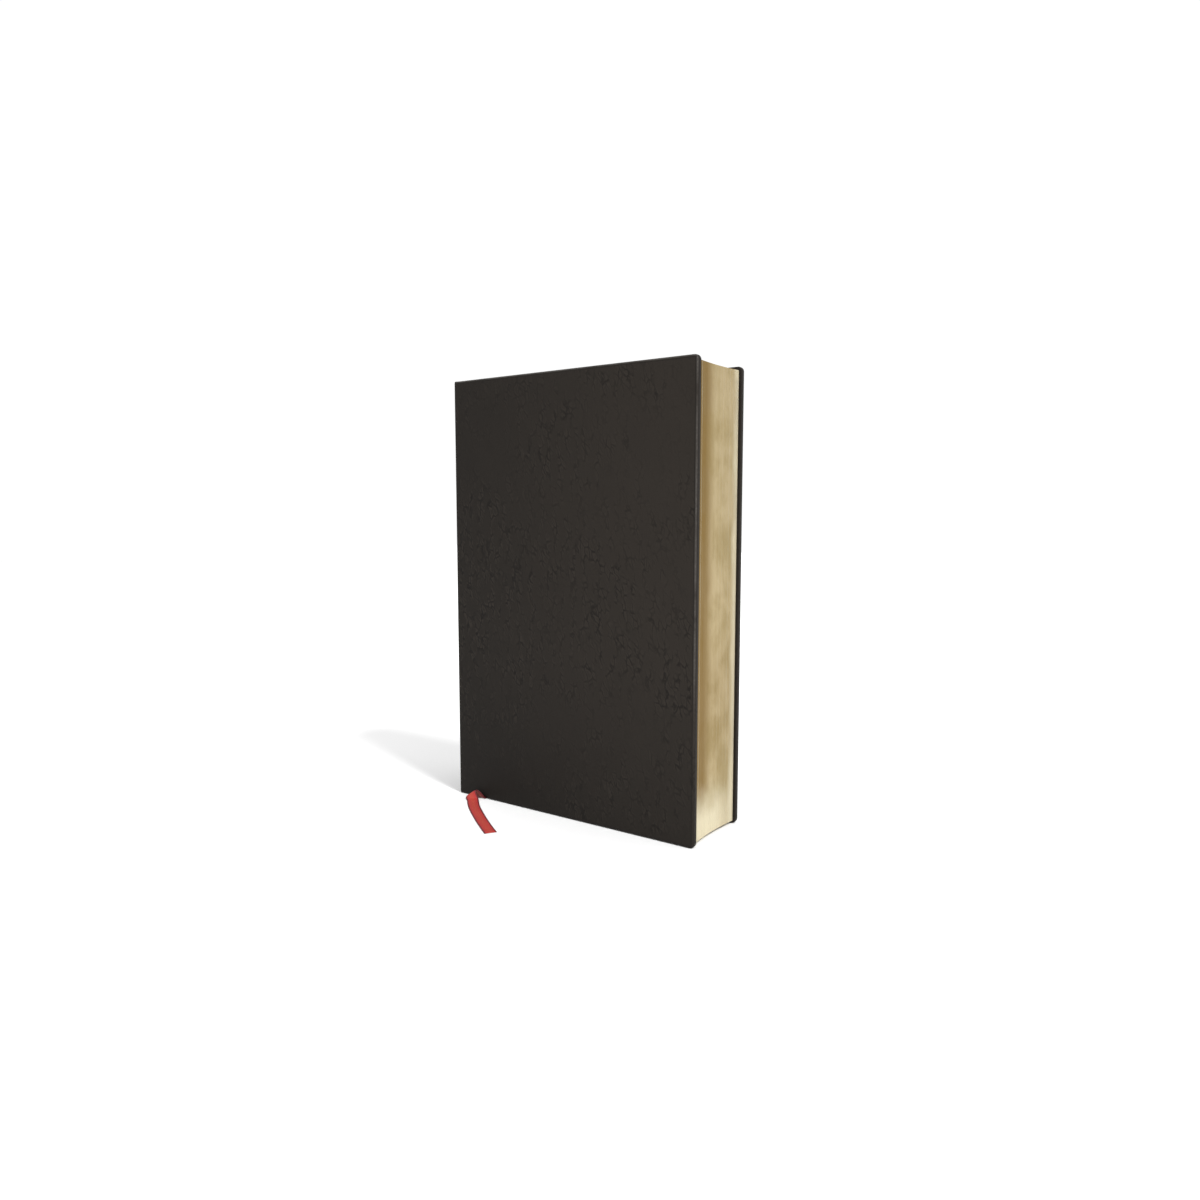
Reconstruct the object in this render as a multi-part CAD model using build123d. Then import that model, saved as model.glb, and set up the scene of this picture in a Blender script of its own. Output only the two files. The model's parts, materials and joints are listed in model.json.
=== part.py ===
from build123d import *
import os
from math import asin, degrees, radians, tan

# A sewn, leather-bound book standing on its tail edges, closed, with a ribbon marker.
# Millimetres. Z runs from tail to head, +X from the spine to the fore-edge, and -Y to the front
# cover. The origin is the centre of the standing book's footprint.

os.makedirs("parts", exist_ok=True)

# ---------------------------------------------------------------- the book as a whole
HEIGHT = 235.0  # covers, tail to head
WIDTH = 156.4  # back of the spine to the covers' fore-edge
THICKNESS = 48.0  # outer face to outer face
SPINE_BULGE = 1.3  # how far the back rounds out beyond its shoulders
FORE_HOLLOW = 1.2  # how far the text block's fore-edge is hollowed
SQUARE_HEAD = 2.0  # covers beyond the text block at the head
SQUARE_TAIL = 1.7
SQUARE_FORE = 1.3

# ---------------------------------------------------------------- covers, outside to inside
LEATHER_T = 1.0
BOARD_T = 2.1
INFILL_T = 0.45
PASTEDOWN_T = 0.25
COVER_T = LEATHER_T + BOARD_T + INFILL_T + PASTEDOWN_T
TURN_IN = 14.0  # width of the leather turned over the board's inner face
PASTEDOWN_MARGIN = 3.0
CORNER_R = 2.5  # fore corners
OUTER_EDGE_R = 1.2
INNER_EDGE_R = 0.7
BOARD_CORNER_R = 1.5

# ---------------------------------------------------------------- hinge lines
SPINE_CLEARANCE = 0.15  # the book opens about a line this far behind the spine
COVER_START = 5.0  # the rigid cover starts this far in front of that line
JOINT_GAP = 0.1
SHOULDER_R = 1.2
SPLIT = 0.05  # half the cut between the front and rear halves of the spine

# ---------------------------------------------------------------- spine layers, as depths
SPINE_TURN_IN = (LEATHER_T, 1.45)
INLAY = (1.05, 1.6)
KRAFT = (2.0, 2.2)
MULL = (2.25, 2.5)
THREAD = (2.56, 2.8)
BLOCK_DEPTH = 2.85
SPINE_TURN_IN_H = 12.0
INLAY_INSET = 13.0  # from head and tail
KRAFT_INSET = 4.0
MULL_INSET = 20.0
BAND_TAPE_H = 15.0
STITCH_H = 0.35
STITCH_COUNT = 9
STITCH_INSET = 12.0

# ---------------------------------------------------------------- text block
HALF_GATHERINGS = 6  # groups of folded sections in each half
GATHERING_GAP = 0.06
MAP_LEAVES_T = 1.2  # heavier leaves at the back
FLYLEAF_T = 0.2
FLYLEAF_GAP = 0.1
FLYLEAF_GUTTER = 4.2  # from the hinge line
HEADBAND_R = 0.85
TAILBAND_R = 0.65
BAND_LIFT = 0.15  # clear of the paper

# ---------------------------------------------------------------- ribbon marker
RIBBON_W = 7.0
RIBBON_T = 0.2
POCKET_DEPTH = 0.26
POCKET_W = 7.4
RIBBON_HEAD_X = 8.5  # from the hinge line, at the head
NOTCH_W = 9.4
NOTCH_H = 0.45
TAIL_T = 0.3
TAIL_ROUTE = [  # along the ground, from under the text block to the free end
    (-61.2, -18.8),
    (-60.2, -25.5),
    (-56.3, -33.2),
    (-46.5, -42.2),
    (-32.2, -53.6),
    (-17.9, -63.2),
]
ARC_SHARE = 0.45  # of the shorter run, given up to each arc

# ---------------------------------------------------------------- worked out from those
X_BACK = -WIDTH / 2
X_FORE = WIDTH / 2
Y_OUT = THICKNESS / 2
X_AXIS = X_BACK - SPINE_CLEARANCE
X_COVER = X_AXIS + COVER_START
Y_INNER = Y_OUT - COVER_T
Y_BLOCK = Y_INNER - FLYLEAF_T - 2 * FLYLEAF_GAP
Z_BLOCK = (SQUARE_TAIL, HEIGHT - SQUARE_HEAD)
R_BACK = (Y_OUT**2 + SPINE_BULGE**2) / (2 * SPINE_BULGE)
X_BACK_CENTRE = X_BACK + R_BACK
R_FORE = (Y_BLOCK**2 + FORE_HOLLOW**2) / (2 * FORE_HOLLOW)
X_BLOCK_FORE = X_FORE - SQUARE_FORE
X_FORE_CENTRE = X_BLOCK_FORE - FORE_HOLLOW + R_FORE
NEAR_BACK = 30.0  # a window around the spine


def prism(x, y, z):
    """A box from three (low, high) pairs."""
    size = [high - low for low, high in (x, y, z)]
    centre = [(high + low) / 2 for low, high in (x, y, z)]
    return Pos(*centre) * Box(*size)


def window(x, y):
    """A rectangle from two (low, high) pairs."""
    return Pos((x[0] + x[1]) / 2, (y[0] + y[1]) / 2) * Rectangle(x[1] - x[0], y[1] - y[0])


def upright(outline, z):
    """The outline, extruded from z[0] to z[1]."""
    return Pos(0, 0, z[0]) * extrude(outline, z[1] - z[0])


def back_disc(depth):
    """The disc whose near edge is the spine's curve, at a depth under the leather's surface."""
    return Pos(X_BACK_CENTRE, 0) * Circle(R_BACK - depth)


def spine_layer(depths, y, z):
    """A curved sheet that follows the spine between two depths."""
    ring = back_disc(depths[0]) - back_disc(depths[1])
    return upright(ring & window((X_BACK - 1, X_BACK + NEAR_BACK), y), z)


def to_rear(solid):
    """The same piece on the rear side."""
    return mirror(solid, about=Plane.XZ)


def edges_at(solid, axis, value, along=None):
    """Edges whose centre has that coordinate, and that run along one axis if it is given."""
    found = solid.edges()
    if along is not None:
        found = found.filter_by(along)
    return found.filter_by_position(axis, value - 1e-3, value + 1e-3)


# ---------------------------------------------------------------- covers (front side)
def cover_leather():
    """The panel's leather: outer skin, three wrapped edges, and the turned-in border."""
    y_skin = (-Y_OUT, -Y_OUT + COVER_T - PASTEDOWN_T)
    body = prism((X_COVER, X_FORE), y_skin, (0, HEIGHT))
    body = fillet(edges_at(body, Axis.X, X_FORE, Axis.Y), CORNER_R)
    outer = edges_at(body, Axis.Y, y_skin[0])
    body = fillet(outer - edges_at(body, Axis.X, X_COVER, Axis.Z), OUTER_EDGE_R)
    inner = edges_at(body, Axis.Y, y_skin[1])
    body = fillet(inner - edges_at(body, Axis.X, X_COVER, Axis.Z), INNER_EDGE_R)
    board_space = board(X_COVER - 1)
    infill_space = prism(
        (X_COVER - 1, X_FORE - TURN_IN),
        (-Y_OUT + LEATHER_T + BOARD_T, -Y_INNER),
        (TURN_IN, HEIGHT - TURN_IN),
    )
    return body - board_space - infill_space


def board(x_start):
    y = (-Y_OUT + LEATHER_T, -Y_OUT + LEATHER_T + BOARD_T)
    plate = prism((x_start, X_FORE - LEATHER_T), y, (LEATHER_T, HEIGHT - LEATHER_T))
    return fillet(edges_at(plate, Axis.X, X_FORE - LEATHER_T, Axis.Y), BOARD_CORNER_R)


def infill_card():
    y = (-Y_INNER - PASTEDOWN_T - INFILL_T, -Y_INNER - PASTEDOWN_T)
    x = (X_COVER + JOINT_GAP, X_FORE - TURN_IN)
    return prism(x, y, (TURN_IN, HEIGHT - TURN_IN))


def pastedown():
    x = (X_COVER + JOINT_GAP, X_FORE - PASTEDOWN_MARGIN)
    z = (PASTEDOWN_MARGIN, HEIGHT - PASTEDOWN_MARGIN)
    return prism(x, (-Y_INNER - PASTEDOWN_T, -Y_INNER), z)


def ribbon_notch():
    """The shallow dent that the ribbon presses into the front cover's tail edge."""
    x = (TAIL_ROUTE[1][0] - NOTCH_W / 2, TAIL_ROUTE[1][0] + NOTCH_W / 2)
    return prism(x, (-Y_OUT - 1, -Y_INNER + 1), (-1, NOTCH_H))


# ---------------------------------------------------------------- spine (front half)
def spine_leather():
    """The back's leather, round its shoulder and out along the flexible joint."""
    x = (X_BACK - 1, X_COVER - JOINT_GAP)
    outer = back_disc(0) & window(x, (-Y_OUT, -SPLIT))
    shoulder = outer.vertices().group_by(Axis.Y)[0].sort_by(Axis.X)[0]
    outer = fillet(shoulder, SHOULDER_R)
    inner = back_disc(LEATHER_T) & window((x[0], x[1] + 1), (-Y_OUT + LEATHER_T, 1))
    skin = upright(outer - inner, (0, HEIGHT))
    y = (-Y_BLOCK, -SPLIT)
    tail = spine_layer(SPINE_TURN_IN, y, (0, SPINE_TURN_IN_H))
    head = spine_layer(SPINE_TURN_IN, y, (HEIGHT - SPINE_TURN_IN_H, HEIGHT))
    return skin + tail + head


def spine_sheet(depths, inset):
    """A lining between the half's shoulder and the cut, short of head and tail by the inset."""
    return spine_layer(depths, (-Y_BLOCK, -SPLIT), (inset, HEIGHT - inset))


def link_stitches():
    """The thread's runs across the folds, one short strip at each sewing station."""
    low, high = Z_BLOCK[0] + STITCH_INSET, Z_BLOCK[1] - STITCH_INSET
    step = (high - low) / (STITCH_COUNT - 1)
    rows = [low + i * step for i in range(STITCH_COUNT)]
    y = (-Y_BLOCK + 0.5, -SPLIT)
    return Compound([spine_layer(THREAD, y, (z, z + STITCH_H)) for z in rows])


def end_band(bead_r, at_head):
    """A worked silk bead over a core on the block's end, with its tape down the back."""
    depth = BLOCK_DEPTH + bead_r + 0.2
    end = Z_BLOCK[1] if at_head else Z_BLOCK[0]
    out = 1 if at_head else -1
    z_bead = end + out * (BAND_LIFT + bead_r)
    arc_r = R_BACK - depth
    angle_far = degrees(asin((Y_BLOCK - 0.3) / arc_r))
    angle_near = degrees(asin((SPLIT + 0.05) / arc_r))
    centre = (X_BACK_CENTRE, 0, z_bead)
    core = CenterArc(centre, arc_r, 180 + angle_near, angle_far - angle_near)
    bead = sweep((core ^ 0) * Circle(bead_r), path=core)
    y = (-Y_BLOCK + 0.3, -SPLIT - 0.05)
    bead_mid = sorted((z_bead - 0.2, z_bead + 0.2))
    tape = sorted((end - out * BAND_TAPE_H, z_bead + out * 0.2))
    return bead + spine_layer(MULL, y, tape) + spine_layer((MULL[0], depth), y, bead_mid)


# ---------------------------------------------------------------- text block
def paper(y):
    """Part of the trimmed block, between two distances across its thickness."""
    outline = back_disc(BLOCK_DEPTH) & window((X_BACK, X_FORE), y)
    outline -= Pos(X_FORE_CENTRE, 0) * Circle(R_FORE)
    return upright(outline, Z_BLOCK)


def gathering_spans():
    """The y range of each group of sections, front to rear, with a cut at the middle."""
    half_gap = GATHERING_GAP / 2
    front = Y_BLOCK / HALF_GATHERINGS
    rear = (Y_BLOCK - MAP_LEAVES_T) / HALF_GATHERINGS
    starts = [-Y_BLOCK + i * front for i in range(HALF_GATHERINGS)]
    starts += [i * rear for i in range(HALF_GATHERINGS + 1)]
    return [(a + half_gap, b - half_gap) for a, b in zip(starts, starts[1:])]


def flyleaf():
    y = (-Y_INNER + FLYLEAF_GAP, -Y_INNER + FLYLEAF_GAP + FLYLEAF_T)
    return prism((X_AXIS + FLYLEAF_GUTTER, X_BLOCK_FORE), y, Z_BLOCK)


# ---------------------------------------------------------------- ribbon marker
def ribbon_slope(width, y):
    """A flat strip between two gatherings, slanting from the head's gutter to the tail."""
    x_head, x_tail = X_AXIS + RIBBON_HEAD_X, TAIL_ROUTE[0][0]
    z_tail, z_head = Z_BLOCK
    half = width / 2
    corners = [(x_tail - half, z_tail), (x_tail + half, z_tail)]
    corners += [(x_head + half, z_head), (x_head - half, z_head)]
    face = Plane.XZ.offset(-y[0]) * make_face(Polyline(*corners, close=True))
    return extrude(face, y[0] - y[1])


def ribbon_tail():
    """The loose end, lying flat on the ground along straight runs and tangent arcs."""
    points = [Vector(x, y) for x, y in TAIL_ROUTE]
    runs = [b - a for a, b in zip(points, points[1:])]
    radii = []
    for run, following in zip(runs, runs[1:]):
        turn = run.get_angle(following)
        shorter = min(run.length, following.length)
        radii.append(ARC_SHARE * shorter / tan(radians(turn / 2)))
    line = FilletPolyline(*points, radius=radii)
    solid = extrude(trace(line, RIBBON_W), TAIL_T)
    print("ribbon tail: radii", [round(r, 1) for r in radii], "length", round(line.length, 1))
    swept = line.length * RIBBON_W * TAIL_T
    print("volume", round(solid.volume, 2), "section times length", round(swept, 2))
    return solid


# ---------------------------------------------------------------- the nodes
nodes = {}

leather = cover_leather()
nodes["front_cover_leather"] = leather - ribbon_notch()
nodes["rear_cover_leather"] = to_rear(leather)
for name, piece in {
    "board": board(X_COVER + JOINT_GAP),
    "infill_card": infill_card(),
    "pastedown": pastedown(),
    "flyleaf": flyleaf(),
}.items():
    nodes["front_" + name] = piece
    nodes["rear_" + name] = to_rear(piece)

for name, piece in {
    "spine_leather": spine_leather(),
    "spine_inlay": spine_sheet(INLAY, INLAY_INSET),
    "kraft_lining": spine_sheet(KRAFT, KRAFT_INSET),
    "mull": spine_sheet(MULL, MULL_INSET),
    "sewing_thread": link_stitches(),
    "headband": end_band(HEADBAND_R, True),
    "tailband": end_band(TAILBAND_R, False),
}.items():
    nodes[name + "_front"] = piece
    nodes[name + "_rear"] = to_rear(piece)

spans = gathering_spans()
for number, span in enumerate(spans, start=1):
    nodes[f"gathering_{number:02d}"] = paper(span)
nodes["map_leaves"] = paper((Y_BLOCK - MAP_LEAVES_T, Y_BLOCK))

pocket_face = spans[0][1]  # the first gathering's rear face
nodes["gathering_01"] -= ribbon_slope(POCKET_W, (pocket_face - POCKET_DEPTH, pocket_face + 0.01))
ribbon_y = pocket_face - POCKET_DEPTH + (POCKET_DEPTH - RIBBON_T) / 2
nodes["ribbon_inner"] = ribbon_slope(RIBBON_W, (ribbon_y, ribbon_y + RIBBON_T))
nodes["ribbon_tail"] = ribbon_tail()

for name, solid in nodes.items():
    export_step(solid, f"parts/{name}.step")
print(len(nodes), "nodes")
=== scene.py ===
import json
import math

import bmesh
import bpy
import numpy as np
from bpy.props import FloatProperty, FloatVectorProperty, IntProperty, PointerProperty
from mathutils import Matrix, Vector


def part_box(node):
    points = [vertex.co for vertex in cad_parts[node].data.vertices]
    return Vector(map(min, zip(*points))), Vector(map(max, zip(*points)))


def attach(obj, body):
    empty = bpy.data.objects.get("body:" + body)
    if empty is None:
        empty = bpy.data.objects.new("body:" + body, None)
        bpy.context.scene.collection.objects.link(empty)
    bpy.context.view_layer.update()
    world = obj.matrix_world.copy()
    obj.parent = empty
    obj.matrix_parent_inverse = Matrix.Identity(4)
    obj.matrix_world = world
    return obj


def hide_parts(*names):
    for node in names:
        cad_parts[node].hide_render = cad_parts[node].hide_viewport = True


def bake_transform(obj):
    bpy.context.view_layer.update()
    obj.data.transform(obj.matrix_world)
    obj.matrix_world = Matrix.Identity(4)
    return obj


bl_info = {
    "name": "Leather Bound Book",
    "version": (1, 0, 0),
    "blender": (4, 5, 0),
    "location": "View3D > Sidebar > Book",
    "description": "Builds the leather, gilt paper, silk and ribbon of a sewn book",
    "category": "Object",
}

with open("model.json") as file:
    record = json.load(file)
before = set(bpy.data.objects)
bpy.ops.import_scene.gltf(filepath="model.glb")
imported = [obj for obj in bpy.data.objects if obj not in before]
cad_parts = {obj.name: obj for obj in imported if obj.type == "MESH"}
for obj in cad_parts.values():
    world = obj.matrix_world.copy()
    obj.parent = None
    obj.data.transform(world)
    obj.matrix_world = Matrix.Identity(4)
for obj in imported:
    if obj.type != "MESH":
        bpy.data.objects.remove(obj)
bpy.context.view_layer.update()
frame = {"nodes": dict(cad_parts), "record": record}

# Metres. Z runs from tail to head, +X from the spine to the fore-edge, -Y to the front cover.
MM = 0.001
TURN = 2.0 * math.pi

# ---- places read from the frame
cover_low, cover_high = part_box("front_cover_leather")
block_low, block_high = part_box("gathering_01")
map_low, map_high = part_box("map_leaves")
paste_low, paste_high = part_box("front_pastedown")
spine_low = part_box("spine_leather_front")[0]
flyleaf_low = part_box("front_flyleaf")[0]
inner_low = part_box("ribbon_inner")[0]

HEIGHT = cover_high.z
FORE_X = cover_high.x
BACK_X = spine_low.x
OUTER_Y = -cover_low.y
COVER_X = cover_low.x  # where the stiff part of a cover starts
JOINT_START = COVER_X - 2.6 * MM  # where its leather starts to bend
SEAM_Y = 21.0 * MM  # where a cover's leather meets the spine's
COVER_DEPTH = OUTER_Y + paste_low.y  # outer face to the back of the pastedown
BLOCK_Y = map_high.y
BLOCK_TAIL, BLOCK_HEAD = block_low.z, block_high.z
RIBBON_CLEARANCE = 0.02 * MM  # from the inner ribbon to the leaves in front of it
SUNK = 0.005 * MM  # how far an endpaper's fold runs into the papers that it joins
FOLD_FROM = paste_high.y - SUNK
FOLD_TO = flyleaf_low.y + SUNK


def circle_through(sagitta, half_chord):
    """Radius of the circle whose arc stands sagitta high over a chord of twice half_chord."""
    return (half_chord**2 + sagitta**2) / (2 * sagitta)


SPINE_BULGE = 1.3 * MM  # how far the back rounds out
BACK_R = circle_through(SPINE_BULGE, OUTER_Y)
BACK_CENTRE_X = BACK_X + BACK_R
FORE_HOLLOW = 1.2 * MM  # how far the fore-edge of the leaves is hollowed
FORE_R = circle_through(FORE_HOLLOW, BLOCK_Y)
FORE_CENTRE_X = map_high.x - FORE_HOLLOW + FORE_R

# Depths below the surface of the back, where each of its layers starts and ends.
INLAY_DEPTHS = (1.50 * MM, 1.62 * MM)
KRAFT_DEPTHS = (2.0 * MM, 2.2 * MM)
MULL_DEPTHS = (2.25 * MM, 2.5 * MM)
BLOCK_DEPTH = 2.85 * MM

# Starts of the random draws.
SKIN_SEED = 11
LEAF_SEED = 100
MAP_SEED = 131


# ======== settings
def length(name, description, default):
    """A size in metres, shown with its unit."""
    return FloatProperty(
        name=name, description=description, default=default, unit="LENGTH", precision=5
    )


def colour(name, description, default):
    """A linear RGB colour."""
    return FloatVectorProperty(
        name=name, description=description, default=default, subtype="COLOR", size=3,
        min=0.0, max=1.0,
    )


class BookLeatherSettings(bpy.types.PropertyGroup):
    """The cover leather's sizes and colours."""

    skin: length("Skin", "Thickness of the pared leather", 0.4 * MM)
    corner_radius: length("Corner", "Radius of the covers' fore corners", 2.5 * MM)
    outer_edge: length("Outer edge", "Rounding of the covers' outer edges", 1.2 * MM)
    inner_edge: length("Inner edge", "Rounding of the covers' inner edges", 0.7 * MM)
    shoulder_radius: length("Shoulder", "Rounding where the spine meets a cover", 1.2 * MM)
    turn_in: length("Turn-in", "Width of the leather turned over the board", 14.0 * MM)
    joint_depth: length("Joint", "Folded thickness of the leather at the joint", 1.45 * MM)
    waviness: length("Waviness", "How far the skin rises and falls over the board", 0.035 * MM)
    base: colour("Leather", "Colour of the dyed leather", (0.0144, 0.0117, 0.0094))
    # worn also colours the line along the rounding of the edge, which is partly wear and partly a
    # painted highlight
    worn: colour("Worn leather", "Colour where handling has rubbed the dye", (0.072, 0.066, 0.060))
    pore_size: length("Pores", "Size of the finest grain", 0.55 * MM)
    crease_size: length("Creases", "Size of the drawn creases", 2.4 * MM)


class BookPaperSettings(bpy.types.PropertyGroup):
    """The text block's and endpapers' sizes and colours."""

    leaves: IntProperty(
        name="Leaves", description="Leaves shown in one gathering", default=8, min=2, max=16
    )
    chamfer: length("Leaf edge", "Rounding of a leaf's trimmed edge", 0.035 * MM)
    gilt: colour("Gilt", "Colour of the gilded edges", (0.465, 0.368, 0.205))
    gilt_dark: colour("Thin gilt", "Colour of the thin gilding", (0.305, 0.230, 0.098))
    # colour of the painted shade on the gilding beside the front cover
    gilt_painted_shade: colour("Rubbed gilt", "Gilding by the front cover", (0.200, 0.120, 0.026))
    gilt_pale: colour("Pale gilt", "Colour of the gilding at the foot", (0.675, 0.615, 0.45))
    page: colour("Page", "Colour of the thin paper", (0.80, 0.77, 0.68))
    endpaper: colour("Endpaper", "Colour of the heavy endpapers", (0.72, 0.68, 0.58))


class BookTrimSettings(bpy.types.PropertyGroup):
    """The ribbon's, bands' and linings' sizes and colours."""

    ribbon_width: length("Ribbon width", "Width of the marker ribbon", 6.6 * MM)
    ribbon_thickness: length("Ribbon thickness", "Thickness of the satin", 0.22 * MM)
    satin: colour("Satin", "Colour of the ribbon", (0.385, 0.030, 0.026))
    satin_dark: colour("Selvedge", "Colour of the ribbon's woven edges", (0.115, 0.006, 0.011))
    silk: colour("Silk", "First colour of the worked bands", (0.42, 0.030, 0.028))
    silk_light: colour("Light silk", "Second colour of the worked bands", (0.66, 0.50, 0.26))
    kraft: colour("Kraft", "Colour of the lining paper", (0.36, 0.23, 0.12))
    gauze: colour("Gauze", "Colour of the mull", (0.72, 0.68, 0.56))
    thread: colour("Thread", "Colour of the linen thread", (0.74, 0.69, 0.56))
    board: colour("Board", "Colour of the grey board", (0.33, 0.29, 0.22))


class BookStageSettings(bpy.types.PropertyGroup):
    """The floor, the lights and the camera."""

    lens: FloatProperty(
        name="Lens", description="Focal length in millimetres", default=26.85, min=10.0
    )
    camera_place: FloatVectorProperty(
        name="Camera", description="Where the camera stands", default=(0.2834, -0.3920, 0.1619),
        subtype="TRANSLATION", unit="LENGTH", size=3,
    )
    camera_pitch: FloatProperty(
        name="Pitch", description="How far the camera looks down",
        default=math.radians(5.53), unit="ROTATION",
    )
    camera_turn: FloatProperty(
        name="Turn", description="How far the camera turns to the left",
        default=math.radians(35.28), unit="ROTATION",
    )
    floor_size: length("Floor", "Length of the floor's side", 6.0)
    floor_tone: colour("Floor tone", "Colour of the floor", (0.94, 0.94, 0.94))
    sky_strength: FloatProperty(
        name="Surround", description="Brightness of the white surround", default=1.03, min=0.0
    )
    front_strength: FloatProperty(
        name="Front", description="Brightness in front of the book", default=0.82, min=0.0
    )
    key_strength: FloatProperty(
        name="Key light", description="Strength of the soft main light", default=2.0, min=0.0
    )
    key_softness: FloatProperty(
        name="Softness", description="Width of the main light in the sky",
        default=math.radians(9.0), unit="ROTATION",
    )


# ======== shader maths
class Amount:
    """A number in a node tree. Arithmetic on it adds Math nodes."""

    def __init__(self, finish, socket):
        self.finish = finish
        self.socket = socket

    def maths(self, operation, *terms):
        """A Math node with these terms."""
        made = self.finish.node("ShaderNodeMath", dict(operation=operation), dict(enumerate(terms)))
        return Amount(self.finish, made.outputs[0])

    def __add__(self, other):
        return self.maths("ADD", self, other)

    def __radd__(self, other):
        return self.maths("ADD", other, self)

    def __sub__(self, other):
        return self.maths("SUBTRACT", self, other)

    def __rsub__(self, other):
        return self.maths("SUBTRACT", other, self)

    def __mul__(self, other):
        return self.maths("MULTIPLY", self, other)

    def __truediv__(self, other):
        return self.maths("DIVIDE", self, other)

    def size(self):
        """Its distance from nought."""
        return self.maths("ABSOLUTE", self)

    def sine(self):
        """Its sine."""
        return self.maths("SINE", self)

    def fraction(self):
        """What it has beyond a whole number."""
        return self.maths("FRACT", self)

    def rise(self, start, end):
        """Goes smoothly from 0 at start to 1 at end."""
        settings = dict(interpolation_type="SMOOTHSTEP", data_type="FLOAT")
        made = self.finish.node("ShaderNodeMapRange", settings, {0: self, 1: start, 2: end})
        return Amount(self.finish, made.outputs[0])


class Finish:
    """The nodes of a new material or world. Every node comes from the method called node."""

    def __init__(self, name, kind="materials"):
        self.material = getattr(bpy.data, kind).new(name)
        self.material.use_nodes = True
        self.tree = self.material.node_tree
        self.tree.nodes.clear()

    def node(self, kind, settings=None, inputs=None):
        """Adds a node, sets its settings, and then the values or links of its sockets."""
        made = self.tree.nodes.new(kind)
        for key, value in (settings or {}).items():
            setattr(made, key, value)
        for key, value in (inputs or {}).items():
            value = value.socket if isinstance(value, Amount) else value
            if isinstance(value, bpy.types.NodeSocket):
                self.tree.links.new(value, made.inputs[key])
            else:
                made.inputs[key].default_value = value
        return made

    def place(self):
        """Where a point of a new piece lies at rest, whatever the pose."""
        return self.node("ShaderNodeAttribute", dict(attribute_name="place")).outputs["Vector"]

    def share(self, name):
        """A number stored on the piece's mesh."""
        made = self.node("ShaderNodeAttribute", dict(attribute_name=name))
        return Amount(self, made.outputs["Fac"])

    def objects_own(self):
        """Object coordinates, for the frame's own nodes."""
        return self.node("ShaderNodeTexCoord").outputs["Object"]

    def stretch(self, vector, scale):
        """The vector with each part multiplied by its own number."""
        inputs = {0: vector, 1: scale}
        return self.node("ShaderNodeVectorMath", dict(operation="MULTIPLY"), inputs).outputs[0]

    def shift(self, vector, by):
        """The sum of two vectors."""
        inputs = {0: vector, 1: by}
        return self.node("ShaderNodeVectorMath", dict(operation="ADD"), inputs).outputs[0]

    def turn(self, vector, angle):
        """The vector turned about the second axis."""
        inputs = {0: vector, 2: (0.0, angle, 0.0)}
        return self.node("ShaderNodeMapping", None, inputs).outputs[0]

    def along(self, vector, axis):
        """One part of a vector."""
        return Amount(self, self.node("ShaderNodeSeparateXYZ", None, {0: vector}).outputs[axis])

    def noise(self, vector, feature, detail=2.0, roughness=0.5, distortion=0.0):
        """Cloudy noise whose features are about that many metres across."""
        inputs = {
            "Vector": vector, "Scale": 1.0 / feature, "Detail": detail,
            "Roughness": roughness, "Distortion": distortion,
        }
        return self.node("ShaderNodeTexNoise", None, inputs)

    def cloud(self, *args, **kwargs):
        """The same noise as a number from 0 to 1."""
        return Amount(self, self.noise(*args, **kwargs).outputs[0])

    def cells(self, vector, feature, kind="F1"):
        """Distances in a pattern of cells about that many metres across."""
        inputs = {"Vector": vector, "Scale": 1.0 / feature, "Randomness": 1.0}
        if kind == "SMOOTH_F1":
            inputs["Smoothness"] = 0.35
        made = self.node("ShaderNodeTexVoronoi", dict(feature=kind), inputs)
        return Amount(self, made.outputs["Distance"])

    def wander(self, vector, feature, reach):
        """The vector, pushed about by up to reach metres over that many metres."""
        wobble = self.noise(vector, feature, 2.0).outputs["Color"]
        centred = self.shift(wobble, (-0.5, -0.5, -0.5))
        return self.shift(vector, self.stretch(centred, (reach, reach, reach)))

    def blend(self, factor, first, second):
        """Two colours mixed: the first at a factor of 0, and the second at 1."""
        settings = dict(data_type="RGBA", blend_type="MIX", clamp_factor=True)
        first = first if isinstance(first, bpy.types.NodeSocket) else (*first, 1.0)
        second = second if isinstance(second, bpy.types.NodeSocket) else (*second, 1.0)
        return self.node("ShaderNodeMix", settings, {0: factor, 6: first, 7: second}).outputs[2]

    def relief(self, height):
        """A bump from a height in metres."""
        inputs = {"Height": height, "Distance": 1.0, "Strength": 1.0}
        return self.node("ShaderNodeBump", None, inputs).outputs[0]

    def surface(self, colour, roughness, normal=None, metallic=0.0, **constants):
        """The Principled shader that ends the material."""
        inputs = {"Base Color": colour, "Roughness": roughness, "Metallic": metallic}
        if normal is not None:
            inputs["Normal"] = normal
        inputs.update({key.replace("_", " "): value for key, value in constants.items()})
        shader = self.node("ShaderNodeBsdfPrincipled", None, inputs)
        self.node("ShaderNodeOutputMaterial", None, {0: shader.outputs[0]})
        return self.material


# ======== finishes
PAPER_GRAIN = 0.45 * MM
PAPER_TOOTH = 0.02 * MM
FIBRE_TONE = (0.62, 0.57, 0.46)
FLECK_TONE = (0.12, 0.10, 0.08)
GLUE_TONE = (0.45, 0.36, 0.22)
# colour of the painted shade in the silk's furrows
FURROW_TONE = (0.05, 0.01, 0.01)
SILK_GLINT = (0.75, 0.55, 0.45)
SATIN_GLINT = (0.46, 0.085, 0.040)
SATIN_UNDERSIDE_SHADE = (0.13, 0.055, 0.042)


def shade(tone, factor):
    """A colour made darker or brighter."""
    return [min(1.0, part * factor) for part in tone]


def once(name, make, *terms):
    """The finish of that name, made the first time that a piece asks for it."""
    return bpy.data.materials.get(name) or make(*terms)


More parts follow.
